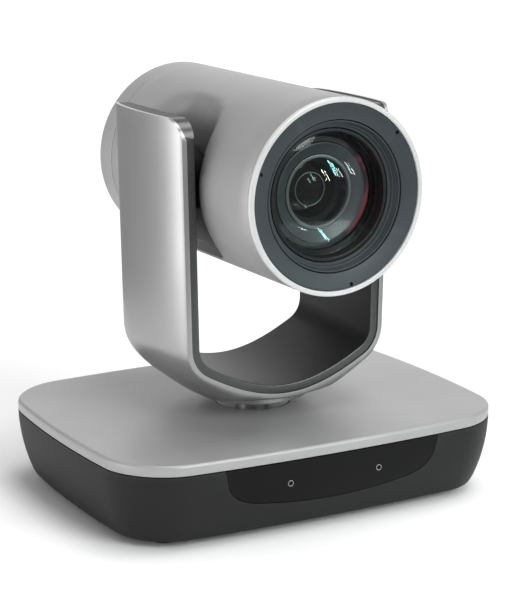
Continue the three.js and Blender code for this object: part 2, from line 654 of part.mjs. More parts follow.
function addZoomBlock() {
  const body = block(-19, TUBE_BACK, TILT_Z - 25, 19, BLOCK_BACK, TILT_Z + 25);
  const bore = turnedY(disc(BORE_R, TUBE_BACK - 1, BLOCK_BACK + 1), 0, TILT_Z, 28);
  add("zoom_block", cut(body, bore), MATT_BLACK);
  for (const [side, x] of [["left", -ROD_X], ["right", ROD_X]]) {
    add("guide_rod_" + side, turnedY(disc(1, TUBE_BACK, 9), x, TILT_Z, 12), STEEL);
  }
  addCarrier("zoom", -44, 13.6, 11);
  addCarrier("focus", -8, 12, 9);
  const iris = cut(
    turnedY(ring(5, 16.6, -22, -20), 0, TILT_Z, 32),
    ...[-ROD_X, ROD_X].map((x) => turnedY(disc(1.3, -30, -10), x, TILT_Z, 12)),
  );
  add("iris", iris, GUNMETAL);
  add("ir_cut_filter", block(-8, 11, TILT_Z - 8, 8, 12, TILT_Z + 8), GLASS);
  add("image_sensor", block(-6, 15, TILT_Z - 5, 6, 17.4, TILT_Z + 5), GLOSS_BLACK);
  add("sensor_board", block(-18, BLOCK_BACK + GAP, TILT_Z - 20, 18, 20, TILT_Z + 20), BOARD);

  // A sheet-metal cradle: a floor and two cheeks that carry the trunnions.
  const low = TILT_Z - 27.4;
  const floor = block(-22.8, -24, low, 22.8, 24, low + 1.4);
  const cheeks = [-22.8, 21.4].map((x) => block(x, -24, low, x + 1.4, 24, TILT_Z + 14));
  const back = block(-22.8, 24, low, 22.8, 25.4, TILT_Z + 14);
  add("head_cradle", join(floor, ...cheeks, back), STEEL);
}

addBaseShells();
addUnderside();
addElectronics();
addPanDrive();
addYoke();
addTiltDrive();
addHeadShells();
addLens();
addZoomBlock();

export default camera;
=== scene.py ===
# A conference camera: a flat base, a silver yoke that pans on it, and a barrel head that tilts
# between the yoke's arms. Shapes are drawn in millimetres in the frame's own axes (+Z up, the
# lens facing -Y) and become metres when a mesh is made.
import json
import math

import bmesh
import bpy
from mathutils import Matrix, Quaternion, Vector

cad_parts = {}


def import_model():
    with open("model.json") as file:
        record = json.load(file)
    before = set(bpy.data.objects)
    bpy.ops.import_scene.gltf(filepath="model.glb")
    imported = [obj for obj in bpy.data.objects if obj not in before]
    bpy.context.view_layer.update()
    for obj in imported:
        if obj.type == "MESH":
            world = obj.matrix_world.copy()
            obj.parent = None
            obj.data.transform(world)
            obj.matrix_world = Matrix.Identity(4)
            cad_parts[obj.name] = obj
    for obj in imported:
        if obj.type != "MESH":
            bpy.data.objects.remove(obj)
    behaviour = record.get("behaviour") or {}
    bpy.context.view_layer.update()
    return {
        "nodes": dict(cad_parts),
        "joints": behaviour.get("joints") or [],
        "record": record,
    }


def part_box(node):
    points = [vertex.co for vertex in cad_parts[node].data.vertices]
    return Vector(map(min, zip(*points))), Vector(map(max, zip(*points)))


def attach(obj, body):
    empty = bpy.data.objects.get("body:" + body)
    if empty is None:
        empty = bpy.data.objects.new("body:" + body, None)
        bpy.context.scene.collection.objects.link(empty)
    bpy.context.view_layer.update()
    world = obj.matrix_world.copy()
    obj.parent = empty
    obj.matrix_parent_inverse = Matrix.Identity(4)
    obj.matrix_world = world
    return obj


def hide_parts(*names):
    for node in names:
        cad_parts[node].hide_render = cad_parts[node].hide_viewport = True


MM = 0.001
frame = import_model()


def span(node):
    """A CAD node's lowest and highest corners, in millimetres."""
    low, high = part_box(node)
    return low / MM, high / MM


# ---- Places taken from the frame ----
PLATE_LOW = span("base_top_plate")[0].z
PLATE_TOP = span("base_top_plate")[1].z
HALF_W = span("base_top_plate")[1].x
HALF_D = span("base_top_plate")[1].y
HOUSING_LOW = span("base_housing")[0].z
HOUSING_TOP = span("base_housing")[1].z
TILT_Z = 1000 * next(j for j in frame["joints"] if j["name"] == "tilt")["pos_m"][2]
HEAD_R = span("head_rear_cap")[1].x
HEAD_FRONT = span("front_rim")[0].y
RIM_BACK = span("front_rim")[1].y
SHELL_FRONT = span("head_shell")[0].y
SHELL_BACK = span("head_shell")[1].y
CAP_FRONT = span("head_rear_cap")[0].y
CAP_BACK = span("head_rear_cap")[1].y
YOKE_HALF_D = span("yoke_shell")[1].y
YOKE_TOP = span("yoke_shell")[1].z

# ---- Driving dimensions shared with the CAD part ----
CORNER = 24
SIDE_BOW = 4.5
BOWL_INSET = 7
WALL = 2
PLATE_INSET = 11
YOKE_LOW = 44.8
YOKE_REACH = 37.2
YOKE_ROUND = 45
YOKE_SLOPE = 0.93
YOKE_CORNER = 15
YOKE_LEAN = math.radians(1.2)
YOKE_RIM = 1.5
YOKE_BAND = 5
COLLAR_R = 23.5
COLLAR_LOW = 40.4
ARM_BULGE = 4.4
FOOT_BULGE = 3.6
FOOT_LOW = 41.3
FOOT_AT, FOOT_SPREAD, FOOT_RISE = 22, 16, 1.08
ARM_CORNER = 9
GAP = 0.3
WAIST_HALF_W = 26
WAIST_HALF_L = 27
BEZEL_R = 29.8
GLASS_R = 24.3
GLASS_FRONT = -60.6
GLASS_BOW = 3.4
WINDOW_HALF_W = 49
SHAFT_R = 7
TRIPOD_R = 4.8
SHELL_T = 2.2
WAIST_HALF_H = 31
DIMPLE_PLACE = (-21, -16)
NOTCH_DEGREES = (41, 161, 281)

# ---- Shapes that are finer here than in the CAD part ----
SIDE_POWER, RISE_POWER = 1.63, 1.14  # how the case's side curves in, and how it rises
PLATE_FILLET = 1.3
WAIST_TOP_CORNER, WAIST_LOW_CORNER = 7, 12
WAIST_POWER = 3  # of the waist's flattened oval section
CUT_FRONT, CUT_BACK = -80, -55  # a cutter's reach along Y, through the case's front
VENT_ROWS, VENT_COLUMNS, VENT_PITCH, VENT_W, VENT_L = 2, 9, 8, 2.4, 10
COVER_SCREW = (44, 46)


def tone(level):
    """A grey or coloured display value from 0 to 255 as linear light."""
    levels = (level,) * 3 if isinstance(level, (int, float)) else level
    linear = [v / 255 / 12.92 if v <= 10 else ((v / 255 + 0.055) / 1.055) ** 2.4 for v in levels]
    return (*linear, 1)


# ---- Materials ----
def object_place(tree):
    """Where a point lies on its own piece, in metres."""
    return tree.nodes.new("ShaderNodeTexCoord").outputs["Object"]


def along_axis(tree, source, axis):
    parts = tree.nodes.new("ShaderNodeSeparateXYZ")
    tree.links.new(source, parts.inputs["Vector"])
    return parts.outputs[axis]


def noise(tree, source, scale, detail=2):
    texture = tree.nodes.new("ShaderNodeTexNoise")
    texture.inputs["Scale"].default_value = scale
    texture.inputs["Detail"].default_value = detail
    tree.links.new(source, texture.inputs["Vector"])
    return texture.outputs["Fac"]


def ranged(tree, source, start, end, low=0.0, high=1.0, soft=False):
    """Turns the stretch from start to end into one from low to high."""
    remap = tree.nodes.new("ShaderNodeMapRange")
    if soft:
        remap.interpolation_type = "SMOOTHSTEP"
    remap.inputs["From Min"].default_value = start
    remap.inputs["From Max"].default_value = end
    remap.inputs["To Min"].default_value = low
    remap.inputs["To Max"].default_value = high
    tree.links.new(source, remap.inputs["Value"])
    return remap.outputs["Result"]


def mixed(tree, factor, first, second):
    """Blends two colours. Each is a colour or another node's output."""
    mix = tree.nodes.new("ShaderNodeMix")
    mix.data_type = "RGBA"
    tree.links.new(factor, mix.inputs["Factor"])
    for socket, value in ((mix.inputs["A"], first), (mix.inputs["B"], second)):
        if isinstance(value, tuple):
            socket.default_value = value
        else:
            tree.links.new(value, socket)
    return mix.outputs["Result"]


COAT_ROUGHNESS = 0.08
FILM_IOR = 1.38
NOISE_LOW, NOISE_HIGH = 0.3, 0.7  # where most of a noise's values lie
EDGE_START, EDGE_FULL = 0.52, 0.6  # how pointed a surface is where wear starts, and is full
FLECKS = 0.35
BUMP_DEPTH = 0.0002


def material(name, color, rough, metal=0.0, vary=0.05, grain=1500, bump=0.04, wear=0.3, coat=0.0,
             brushed=None, film=0.0, transmission=0.0, patches=35, rough_vary=0.08, gloss=0.5):
    """A procedural finish: slow colour drift, fine grain in its height and roughness, and edges
    that are rubbed paler. brushed gives the grain a direction by stretching it along an axis."""
    made = bpy.data.materials.new(name)
    made.use_nodes = True
    tree = made.node_tree
    nodes, links = tree.nodes, tree.links
    shader = nodes["Principled BSDF"]
    shader.inputs["Metallic"].default_value = metal
    shader.inputs["Coat Weight"].default_value = coat
    shader.inputs["Coat Roughness"].default_value = COAT_ROUGHNESS
    shader.inputs["Transmission Weight"].default_value = transmission
    shader.inputs["Specular IOR Level"].default_value = gloss
    if film:
        shader.inputs["Thin Film Thickness"].default_value = film
        shader.inputs["Thin Film IOR"].default_value = FILM_IOR
    place = object_place(tree)
    mapping = nodes.new("ShaderNodeMapping")
    if brushed:
        mapping.inputs["Scale"].default_value = brushed
    links.new(place, mapping.inputs["Vector"])

    fine = noise(tree, mapping.outputs["Vector"], grain, 3)
    slow = noise(tree, place, patches)
    darker = (*[c * (1 - vary) for c in color[:3]], 1)
    paler = (*[min(1, c * (1 + vary)) for c in color[:3]], 1)
    worn = (*[min(1, c * 1.5 + 0.03) for c in color[:3]], 1)
    drift = mixed(tree, ranged(tree, slow, NOISE_LOW, NOISE_HIGH), darker, paler)
    flecked = mixed(tree, ranged(tree, fine, NOISE_LOW, NOISE_HIGH, 0, FLECKS), drift, paler)
    edges = nodes.new("ShaderNodeNewGeometry").outputs["Pointiness"]
    rubbed = ranged(tree, edges, EDGE_START, EDGE_FULL, 0, wear)
    links.new(mixed(tree, rubbed, flecked, worn), shader.inputs["Base Color"])
    smoother, rougher = rough - rough_vary / 2, rough + rough_vary
    links.new(ranged(tree, fine, NOISE_LOW, NOISE_HIGH, smoother, rougher), shader.inputs["Roughness"])
    if bump:
        height = nodes.new("ShaderNodeBump")
        height.inputs["Strength"].default_value = bump
        height.inputs["Distance"].default_value = BUMP_DEPTH
        links.new(fine, height.inputs["Height"])
        links.new(height.outputs["Normal"], shader.inputs["Normal"])
    return made


LOOKS = {
    "silver_plate": material("plate_paint", tone(160), 0.4, metal=0.25, bump=0.015, wear=0.15,
                             rough_vary=0.04),
    "silver_yoke": material("yoke_paint", tone(157), 0.3, metal=0.7, bump=0.004, wear=0.1,
                            rough_vary=0.02, grain=700),
    "silver_head": material("head_paint", tone(156), 0.42, metal=0.25, bump=0.015, wear=0.05,
                            rough_vary=0.04),
    "pale_rim": material("rim_paint", tone(204), 0.3, metal=0.1, wear=0.15),
    "charcoal_housing": material("housing_plastic", tone(30), 0.5, grain=2600, bump=0.14, wear=0.15,
                                 gloss=0.2),
    "window_black": material("window_gloss", tone(8), 0.1, bump=0.0, wear=0.05, rough_vary=0.03,
                             gloss=0.15),
    "yoke_lining": material("lining_paint", tone(27), 0.42, grain=2200, wear=0.3, gloss=0.25),
    "bezel_slate": material("bezel_paint", tone((60, 65, 69)), 0.38, metal=0.2, wear=0.15, gloss=0.3),
    "matt_black": material("matt_black", tone(12), 0.62, grain=2200, bump=0.1, wear=0.25, gloss=0.3),
    "dark_metal": material("dark_metal", tone(38), 0.34, metal=0.6, wear=0.5),
    "lens_glass": material("lens_glass", (0.8, 0.9, 0.88, 1), 0.004, bump=0.0, film=420, grain=20,
                           transmission=1.0, wear=0.0, rough_vary=0.0),
    "steel": material("steel", tone(176), 0.3, metal=0.95, brushed=(1, 12, 1), grain=900, wear=0.2),
    "brass": material("brass", tone((196, 160, 84)), 0.28, metal=0.95, brushed=(1, 1, 10), grain=900),
    "circuit_board": material("circuit_board", tone((28, 104, 62)), 0.42, coat=0.3, vary=0.15),
    "sensor_black": material("sensor_black", tone((26, 24, 34)), 0.12, bump=0.0, coat=0.6),
    "rubber": material("rubber", tone(30), 0.8, grain=3000, bump=0.25, wear=0.4),
    "nylon": material("nylon", tone((224, 219, 204)), 0.5, vary=0.04),
}
LINING_EDGE = material("lining_edge", tone(84), 0.3, metal=0.85, brushed=(6, 6, 1), grain=900,
                       wear=0.5)
INNER_GREEN = material("coated_element", tone((15, 19, 13)), 0.06, bump=0.0, vary=0.5,
                       grain=40, patches=150, rough_vary=0.0, gloss=0.25)
# The cell's cone is a real part. Its pale teal stands in for a softbox's reflection in the lens: painted
# reflection.
CELL_TEAL_REFLECTION = material("lens_cell_painted_reflection", tone((70, 77, 78)), 0.3, bump=0.0, vary=0.25, grain=60,
                     patches=70, rough_vary=0.0)
CELL_RING = material("lens_cell_edge", tone((112, 118, 116)), 0.25, metal=0.6, bump=0.0, vary=0.2,
                     grain=60, rough_vary=0.0)


def clear_glass():
    """Front glass that is thin enough to see straight through, and mirrors its surroundings. Its
    coating drifts between a green and a purple cast."""
    made = bpy.data.materials.new("front_glass")
    made.use_nodes = True
    tree = made.node_tree
    nodes, links = tree.nodes, tree.links
    nodes.remove(nodes["Principled BSDF"])
    clear = nodes.new("ShaderNodeBsdfTransparent")
    mirror = nodes.new("ShaderNodeBsdfGlossy")
    mirror.inputs["Roughness"].default_value = 0.025
    coating = noise(tree, object_place(tree), 45)
    for shader, green, purple in ((clear, (0.86, 0.93, 0.91, 1), (0.93, 0.9, 0.93, 1)),
                                  (mirror, (0.75, 0.95, 0.9, 1), (0.95, 0.8, 0.9, 1))):
        links.new(mixed(tree, coating, green, purple), shader.inputs["Color"])
    edge = nodes.new("ShaderNodeFresnel")
    edge.inputs["IOR"].default_value = 1.3
    mix = nodes.new("ShaderNodeMixShader")
    links.new(edge.outputs["Fac"], mix.inputs["Fac"])
    links.new(clear.outputs["BSDF"], mix.inputs[1])
    links.new(mirror.outputs["BSDF"], mix.inputs[2])
    links.new(mix.outputs["Shader"], nodes["Material Output"].inputs["Surface"])
    return made


def black_with_painted_reflection():
    """Black paint with purple patches on the right: painted reflection of a coated lens's purple cast."""
    made = LOOKS["matt_black"].copy()
    made.name = "black_with_painted_reflection"
    tree = made.node_tree
    shader = tree.nodes["Principled BSDF"]
    shader.inputs["Roughness"].links[0].from_node.inputs["To Min"].default_value = 0.15
    place = object_place(tree)
    # Only the right side takes the purple patches, which are painted reflection.
    side = ranged(tree, along_axis(tree, place, "X"), 6 * MM, 19 * MM, soft=True)
    patch = ranged(tree, noise(tree, place, 120), 0.42, 0.6, soft=True)
    reflection_mask = tree.nodes.new("ShaderNodeMath")
    reflection_mask.operation = "MULTIPLY"
    tree.links.new(side, reflection_mask.inputs[0])
    tree.links.new(patch, reflection_mask.inputs[1])
    color = mixed(tree, reflection_mask.outputs["Value"], tone((40, 42, 44)), tone((140, 70, 82)))
    tree.links.new(color, shader.inputs["Base Color"])
    return made


def waist_painted_shade():
    """The barrel's paint, which fades to near black low in the waist: painted shade where the arm and the
    barrel keep light out of the recess.
    """
    made = LOOKS["silver_head"].copy()
    made.name = "waist_painted_shade"
    tree = made.node_tree
    shader = tree.nodes["Principled BSDF"]
    paint = shader.inputs["Base Color"].links[0].from_socket
    height = along_axis(tree, object_place(tree), "Z")
    painted = ranged(tree, height, (TILT_Z - 14) * MM, (TILT_Z + 12) * MM, soft=True)
    # Towards the bottom of the waist the paint gives way to near black: painted shade.
    tree.links.new(mixed(tree, painted, tone(14), paint), shader.inputs["Base Color"])
    return made


for part in frame["record"]["subparts"]:
    node = frame["nodes"][part["node"]]
    node.data.materials.clear()
    node.data.materials.append(LOOKS[part["material_slot"]])


# ---- Making pieces ----
def make(name, points, faces):
    """A piece from points in millimetres. Points that coincide become one."""
    mesh = bpy.data.meshes.new(name)
    mesh.from_pydata([Vector(p) * MM for p in points], [], faces)
    shape = bmesh.new()
    shape.from_mesh(mesh)
    bmesh.ops.remove_doubles(shape, verts=shape.verts, dist=1e-7)
    bmesh.ops.dissolve_degenerate(shape, edges=shape.edges, dist=1e-8)
    bmesh.ops.recalc_face_normals(shape, faces=shape.faces)
    shape.to_mesh(mesh)
    shape.free()
    piece = bpy.data.objects.new(name, mesh)
    bpy.context.scene.collection.objects.link(piece)
    return piece


def lofted(name, rings, wrap=False, capped=True):
    """A skin through rings of equal count. wrap joins the last ring to the first; without it each
    end is closed by a face, unless capped is false."""
    count = len(rings[0])
    points = [p for ring in rings for p in ring]
    faces = []
    pairs = len(rings) if wrap else len(rings) - 1
    for k in range(pairs):
        here, there = k * count, (k + 1) % len(rings) * count
        for i in range(count):
            j = (i + 1) % count
            faces.append((here + i, here + j, there + j, there + i))
    if capped and not wrap:
        faces.append(tuple(range(count)))
        faces.append(tuple(range(len(points) - count, len(points))))
    return make(name, points, faces)


def on_circle(axis, centre, radius, along, angle):
    """A point on a circle round an axis, in X, Y, Z order."""
    across, up = radius * math.cos(angle), radius * math.sin(angle)
    if axis == "X":
        return (along, centre[0] + across, centre[1] + up)
    if axis == "Y":
        return (centre[0] + across, along, centre[1] + up)
    return (centre[0] + across, centre[1] + up, along)


def turned(name, profile, centre=(0, TILT_Z), axis="Y", sides=144):
    """A turned piece from [radius, place along the axis] points. A profile that starts and ends on
    the axis is a solid; any other is a closed loop, so it makes a ring."""
    solid = profile[0][0] == 0 and profile[-1][0] == 0
    angles = [math.tau * i / sides for i in range(sides)]
    rings = [[on_circle(axis, centre, radius, along, a) for a in angles] for radius, along in profile]
    return lofted(name, rings, wrap=not solid, capped=False)


def filleted(points, radius, closed=True, steps=4):
    """Rounds the corners of a flat outline. Points on a turned piece's axis keep their place."""
    rounded = []
    for i, point in enumerate(points):
        corner = Vector(point)
        size = radius[i] if isinstance(radius, (list, tuple)) else radius
        if size == 0 or not closed and i in (0, len(points) - 1):
            rounded.append(tuple(corner))
            continue
        before = Vector(points[i - 1]) - corner
        after = Vector(points[(i + 1) % len(points)]) - corner
        half = before.angle(after) / 2
        length = min(size / math.tan(half), before.length * 0.48, after.length * 0.48)
        start = corner + before.normalized() * length
        end = corner + after.normalized() * length
        for k in range(steps + 1):
            t = k / steps
            rounded.append(tuple(start * (1 - t) ** 2 + corner * 2 * t * (1 - t) + end * t * t))
    return rounded


def prism(name, outline, axis, low, high):
    """A straight solid. The outline is drawn in the two axes other than its own, in X, Y, Z order."""
    spot = {
        "X": lambda u, v, w: (w, u, v),
        "Y": lambda u, v, w: (u, w, v),
        "Z": lambda u, v, w: (u, v, w),
    }[axis]
    return lofted(name, [[spot(u, v, w) for u, v in outline] for w in (low, high)])


def box_piece(name, low, high):
    """A block between two opposite corners."""
    outline = [(low[0], low[1]), (high[0], low[1]), (high[0], high[1]), (low[0], high[1])]
    return prism(name, outline, "Z", low[2], high[2])


def carve(piece, tool, operation="DIFFERENCE"):
    """Cuts a piece with another, which is used up."""
    modifier = piece.modifiers.new("carve", "BOOLEAN")
    modifier.operation = operation
    modifier.solver = "EXACT"
    modifier.object = tool
    graph = bpy.context.evaluated_depsgraph_get()
    mesh = bpy.data.meshes.new_from_object(piece.evaluated_get(graph))
    piece.modifiers.clear()
    piece.data = mesh
    bpy.data.objects.remove(tool)
    return piece


def soften(piece, width, angle=40, segments=2):
    """Rounds a piece's sharp edges a little, so that they catch the light."""
    modifier = piece.modifiers.new("soften", "BEVEL")
    modifier.width = width * MM
    modifier.segments = segments
    modifier.limit_method = "ANGLE"
    modifier.angle_limit = math.radians(angle)
    modifier.harden_normals = False
    return piece


def finish(piece, body, slot, replaced=(), look=None, angle=32):
    """Gives a piece its look (the slot's look unless another is given), smooth shading and its body, and
    hides the nodes it replaces.
    """
    piece.data.materials.clear()
    piece.data.materials.append(look or LOOKS[slot])
    piece.data.shade_smooth()
    piece.data.set_sharp_from_angle(angle=math.radians(angle))
    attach(piece, body)
    if replaced:
        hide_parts(*replaced)
    return piece


# ---- Base ----
def base_outline(inset, per_corner=12, per_side=16):
    """The base seen from above: a rounded rectangle whose sides bow out a little."""
    half_w, half_d = HALF_W - inset, HALF_D - inset
    radius = CORNER - inset * 0.6  # an inner outline's corners tighten less than its sides move
    corners = []
    for quarter, (sx, sy) in enumerate(((1, 1), (-1, 1), (-1, -1), (1, -1))):
        centre = Vector((sx * (half_w - radius), sy * (half_d - radius)))
        for k in range(per_corner + 1):
            angle = math.pi / 2 * (quarter + k / per_corner)
            corners.append(centre + radius * Vector((math.cos(angle), math.sin(angle))))
    points = []
    for i, point in enumerate(corners):
        following = corners[(i + 1) % len(corners)]
        parts = per_side if i % (per_corner + 1) == per_corner else 1
        points += [point.lerp(following, k / parts) for k in range(parts)]
    bowed = []
    for x, y in points:
        pull_x = 1 - SIDE_BOW / HALF_W * (y / HALF_D) ** 2
        pull_y = 1 - SIDE_BOW / HALF_D * (x / HALF_W) ** 2
        bowed.append((x * pull_x, y * pull_y))
    return bowed


def base_ring(inset, z):
    """The base's outline at one height."""
    return [(x, y, z) for x, y in base_outline(inset)]


def bowl_rings(extra, low, high, steps):
    """The case's side, from its narrow foot to its full width."""
    rings = []
    for i in range(steps + 1):
        angle = math.pi / 2 * i / steps
        inset = BOWL_INSET * (1 - math.sin(angle) ** SIDE_POWER)
        height = 1 - math.cos(angle) ** RISE_POWER
        rings.append(base_ring(inset + extra, low + (high - low) * height))
    return rings


def window_outline(shrink):
    """The front window: straight along its top, with large soft lower corners and a shallow arc."""
    half = WINDOW_HALF_W - shrink
    top, side_low = HOUSING_TOP + 1, 26
    corner_low, arc_pull = 15.6 + shrink, 10 + shrink

    def arc(start, pull, end, steps):
        a, b, c = Vector(start), Vector(pull), Vector(end)
        parts = [k / steps for k in range(1, steps + 1)]
        return [tuple(a * (1 - t) ** 2 + b * 2 * t * (1 - t) + c * t * t) for t in parts]

    points = [(-half, top), (-half + 1.4, side_low)]
    points += arc(points[-1], (-half + 3, corner_low + 2), (-half + 15, corner_low), 14)
    points += arc(points[-1], (0, arc_pull), (half - 15, corner_low), 24)
    points += arc(points[-1], (half - 3, corner_low + 2), (half - 1.4, side_low), 14)
    return points + [(half, top)]


def build_base():
    """The case, its front window with two small eyes in it, and the silver top plate."""
    edge = 0.7
    outside = bowl_rings(0, HOUSING_LOW, HOUSING_TOP, 22)
    floor = HOUSING_LOW + WALL
    inside = bowl_rings(WALL, floor, HOUSING_TOP, 12)
    skin = [base_ring(BOWL_INSET + edge, HOUSING_LOW), *outside[1:], *reversed(inside)]
    skin += [base_ring(PLATE_INSET, floor), base_ring(PLATE_INSET, HOUSING_LOW)]
    housing = lofted("base_case", skin, wrap=True)
    carve(housing, prism("window_hole", window_outline(0), "Y", CUT_FRONT, CUT_BACK))
    low, high = span("io_panel")
    rear = box_piece("rear_hole", (low.x - GAP, low.y, low.z - GAP), (high.x + GAP, 80, high.z + GAP))
    carve(housing, rear)
    finish(housing, "base", "charcoal_housing", ["base_housing"])

    # The window lies a hair behind the case's surface.
    solid = lofted("front_window", bowl_rings(0.2, HOUSING_LOW, HOUSING_TOP - 0.1, 22))
    carve(solid, prism("window_shape", window_outline(0.25), "Y", CUT_FRONT, CUT_BACK), "INTERSECT")
    carve(solid, lofted("window_back", bowl_rings(WALL, floor, HOUSING_TOP + 2, 12)))
    hole_r = 1.25
    hole = [(0, CUT_FRONT), (hole_r, CUT_FRONT), (hole_r, CUT_BACK), (0, CUT_BACK)]
    for side in ("left", "right"):
        node = "ir_receiver_" + side
        low, high = span(node)
        x, z = (low.x + high.x) / 2, (low.z + high.z) / 2
        carve(solid, turned("eye_hole", hole, (x, z), sides=40))
        eye = [(0, -67.3), (0.55, -67.5), (0.85, -67.2), (0.9, -66.2), (0.9, -60.4), (0, -60.4)]
        lens = turned("eye_lens_" + side, eye, (x, z), sides=40)
        finish(lens, "base", "matt_black", [node], look=LOOKS["window_black"])
        ring = filleted([(0.98, -67.95), (1.22, -67.95), (1.22, -64.5), (0.98, -64.5)], 0.08)
        finish(turned("eye_ring_" + side, ring, (x, z), sides=40), "base", "steel")
    finish(solid, "base", "window_black", ["ir_window"], angle=40)

    rings = [base_ring(0.5, PLATE_LOW), base_ring(0.15, PLATE_LOW + 0.15), base_ring(0, PLATE_LOW + 0.5)]
    steps = 8
    for k in range(steps + 1):
        angle = math.pi / 2 * k / steps
        inset = PLATE_FILLET * (1 - math.cos(angle))
        rings.append(base_ring(inset, PLATE_TOP - PLATE_FILLET * (1 - math.sin(angle))))
    rings.append(base_ring(2.4, PLATE_TOP))

    def round_hole(radius, z):
        directions = [Vector(p).normalized() for p in base_outline(0)]
        return [(d.x * radius, d.y * radius, z) for d in directions]

    hole_r, chamfer = 16, 0.4
    rings += [round_hole(24, PLATE_TOP), round_hole(hole_r + chamfer, PLATE_TOP)]
    rings += [round_hole(hole_r, PLATE_TOP - chamfer), round_hole(hole_r, PLATE_LOW)]
    plate = lofted("top_plate", rings, wrap=True)
    finish(plate, "base", "silver_plate", ["base_top_plate"])


def build_underside():
    """The feet, the tripod socket and the vented bottom cover."""
    for corner in ("front_left", "front_right", "rear_right", "rear_left"):
        node = "foot_" + corner
        low, high = span(node)
        x, y = (low.x + high.x) / 2, (low.y + high.y) / 2
        r, top = (high.x - low.x) / 2, high.z
        profile = [(0, 0.5), (3.6, 0.5), (4.2, 0), (r - 1.4, 0), (r - 0.5, 0.35), (r, 1.3), (r, top),
                   (0, top)]
        radii = [0, 0.3, 0.3, 0.6, 0.4, 0.5, 0.1, 0]
        foot = turned("rubber_" + node, filleted(profile, radii), (x, y), "Z", 72)
        finish(foot, "base", "rubber", [node])
    low, high = span("tripod_insert")
    x, y = (low.x + high.x) / 2, (low.y + high.y) / 2
    crest, root, outside = 3.1, 3.4, 4.5
    thread = [(crest, high.z), (outside, high.z), (outside, low.z), (3.5, low.z)]
    turns = 8
    for k in range(turns):
        z = low.z + 0.4 + (high.z - low.z - 0.6) * k / turns
        thread += [(crest, z), (root, z + 0.45)]
    finish(turned("tripod_socket", thread, (x, y), "Z", 64), "base", "brass", ["tripod_insert"])

    low, high = span("base_bottom_plate")
    sheet = lofted("bottom_cover", [
        base_ring(PLATE_INSET + GAP + 0.3, low.z), base_ring(PLATE_INSET + GAP, low.z + 0.3),
        base_ring(PLATE_INSET + GAP, high.z),
    ])
    hole = [(0, 0), (TRIPOD_R, 0), (TRIPOD_R, 20), (0, 20)]
    carve(sheet, turned("insert_hole", hole, (x, y), "Z", 64))
    for row in range(VENT_ROWS):
        for k in range(VENT_COLUMNS):
            left = VENT_PITCH * (k - (VENT_COLUMNS - 1) / 2)
            front = 8 + 14 * row
            right, back = left + VENT_W, front + VENT_L
            slot = filleted([(left, front), (right, front), (right, back), (left, back)], 1.1)
            carve(sheet, prism("vent", slot, "Z", low.z - 1, low.z + 0.9))
    finish(sheet, "base", "steel", ["base_bottom_plate"], look=LOOKS["dark_metal"])
    screw_x, screw_y = COVER_SCREW
    for sx in (-1, 1):
        for sy in (-1, 1):
            name = f"cover_screw_{sx + 1}{sy + 1}"
            screw((sx * screw_x, sy * screw_y), low.z + 0.1, "Z", 1, name, "base")


def screw(centre, face, axis, way, name, body, radius=2.3):
    """A low cross-recess screw head. It reaches out of a face; way is +1 where the solid lies
    towards the axis's positive end."""
    out = 0.58
    profile = [(0, 0), (radius * 0.55, 0), (radius * 0.8, 0.14), (radius, 0.02), (radius, out), (0, out)]
    head = turned(name, [(r, face - way * rise) for r, rise in profile], centre, axis, 40)
    arm, thin = radius * 0.6, 0.32
    low, high = sorted((face - way * 1.5, face + way * 0.24))
    for u, v in ((arm, thin), (thin, arm)):
        cross = [(centre[0] - u, centre[1] - v), (centre[0] + u, centre[1] - v),
                 (centre[0] + u, centre[1] + v), (centre[0] - u, centre[1] + v)]
        carve(head, prism("cross", cross, axis, low, high))
    return finish(head, body, "steel")


def build_rear():
    """The sockets in the rear, and what is inside them."""
    for node in ("lan_socket", "hdmi_socket", "usb_socket", "main_board", "io_panel"):
        soften(frame["nodes"][node], 0.25)
    # Contacts and tongues inside the three flat sockets.
    low, high = span("lan_socket")
    middle = (low.x + high.x) / 2
    half, first, pitch = 0.16, 3.6, 1.02
    for k in range(8):
        x = middle - first + k * pitch
        pin = box_piece(f"lan_contact_{k}", (x - half, 50.3, low.z + 9.4), (x + half, 57.5, low.z + 9.75))
        finish(pin, "base", "brass")
    for kind, half, rise in (("hdmi", 5.2, 3.0), ("usb", 4.6, 3.9)):
        low, high = span(kind + "_socket")
        x = (low.x + high.x) / 2
        tongue = box_piece(kind + "_tongue", (x - half, 49.9, low.z + rise - 0.5),
                           (x + half, 58.5, low.z + rise + 0.5))
        finish(soften(tongue, 0.15), "base", "matt_black")
    round_sockets = (
        ("dc_jack", "matt_black", 3.2, 0.9, 1),
        ("rs232_socket", "matt_black", 4.4, 0.5, 6),
        ("audio_jack", "brass", 2.2, 0, 0),
    )
    for node, slot, bore, pin_r, pins in round_sockets:
        low, high = span(node)
        x, z = (low.x + high.x) / 2, (low.z + high.z) / 2
        outer = (high.x - low.x) / 2
        profile = [(0, low.y), (outer, low.y), (outer, high.y), (bore, high.y), (bore, 50), (0, 50)]
        shell = turned("round_" + node, filleted(profile, [0, 0.2, 0.35, 0.35, 0.2, 0]), (x, z), sides=72)
        finish(shell, "base", slot, [node])
        spread = 2.5 if pins > 1 else 0
        for k in range(pins):
            angle = math.tau * (k + 0.5) / pins
            at = (x + spread * math.cos(angle), z + spread * math.sin(angle))
            pin = filleted([(0, 49.8), (pin_r, 49.8), (pin_r, 58), (0, 58.3)], [0, 0.1, 0.25, 0])
            finish(turned(f"{node}_pin_{k}", pin, at, sides=24), "base", "steel")


